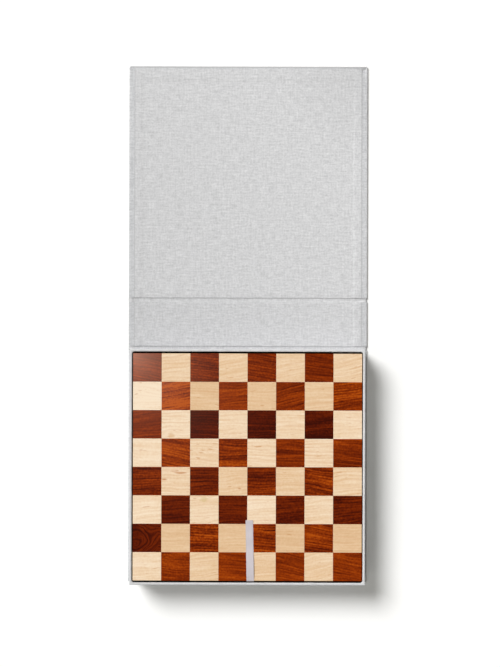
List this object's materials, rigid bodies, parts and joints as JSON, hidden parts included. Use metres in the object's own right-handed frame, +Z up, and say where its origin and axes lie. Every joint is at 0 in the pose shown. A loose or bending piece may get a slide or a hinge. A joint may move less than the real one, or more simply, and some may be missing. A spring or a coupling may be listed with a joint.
{
  "type": "book-style chess box",
  "caption": "Cloth-covered box that opens flat like a book; its tray holds a lift-out wooden chessboard with a ribbon pull, over a divided store for the chessmen.",
  "frame": {"origin": "on the table under the centre of the tray, on the underside of the base", "axes": "+Z up; +Y from the tray towards the spine and the lid as the box lies open; +X to the right seen from the front, which faces -Y"},
  "size_m": [0.324, 0.6999, 0.0583],
  "materials": {
    "book_cloth": "pale cool grey linen book cloth, matte, fine uneven slubs",
    "liner_cloth": "the same linen book cloth, pasted down inside",
    "greyboard": "dense grey binder's board",
    "black_lining": "matte black lining paper",
    "black_card": "matte black card",
    "plywood": "sanded birch plywood",
    "dark_wood": "red-brown hardwood, oiled, satin",
    "light_wood": "maple, oiled, satin",
    "ribbon": "grey-lavender satin ribbon"
  },
  "bodies": {
    "base": {"base_board": "greyboard", "base_cloth": "book_cloth", "base_infill": "greyboard", "base_hinge_strip": "book_cloth", "tray_floor": "greyboard", "front_wall": "greyboard", "back_wall": "greyboard", "left_wall": "greyboard", "right_wall": "greyboard", "tray_cloth": "book_cloth", "wall_lining": "black_lining", "floor_lining": "black_lining", "long_divider_1": "black_card", "long_divider_2": "black_card", "long_divider_3": "black_card", "cross_divider_1": "black_card", "cross_divider_2": "black_card", "cross_divider_3": "black_card", "cross_divider_4": "black_card", "cross_divider_5": "black_card", "cross_divider_6": "black_card", "cross_divider_7": "black_card"},
    "spine": {"spine_board": "greyboard", "spine_cloth": "book_cloth", "spine_liner": "liner_cloth"},
    "lid": {"lid_board": "greyboard", "lid_cloth": "book_cloth", "lid_liner": "liner_cloth", "lid_hinge_strip": "book_cloth"},
    "chessboard": {"board_backing": "plywood", "ribbon_pull": "ribbon", "dark_row_1": "dark_wood", "dark_row_2": "dark_wood", "dark_row_3": "dark_wood", "dark_row_4": "dark_wood", "dark_row_5": "dark_wood", "dark_row_6": "dark_wood", "dark_row_7": "dark_wood", "dark_row_8": "dark_wood", "light_row_1": "light_wood", "light_row_2": "light_wood", "light_row_3": "light_wood", "light_row_4": "light_wood", "light_row_5": "light_wood", "light_row_6": "light_wood", "light_row_7": "light_wood", "light_row_8": "light_wood"}
  },
  "joints": [
    {"name": "spine_fold", "type": "hinge", "parent": "base", "child": "spine", "pos_m": [0, 0.1588, 0.0008], "axis": [1, 0, 0], "range_deg": [0, 90]},
    {"name": "lid_fold", "type": "hinge", "parent": "spine", "child": "lid", "pos_m": [0, 0.2195, 0.0008], "axis": [1, 0, 0], "range_deg": [0, 90]},
    {"name": "board_lift", "type": "slide", "parent": "base", "child": "chessboard", "axis": [0, 0, 1], "range_m": [0, 0.1]}
  ]
}
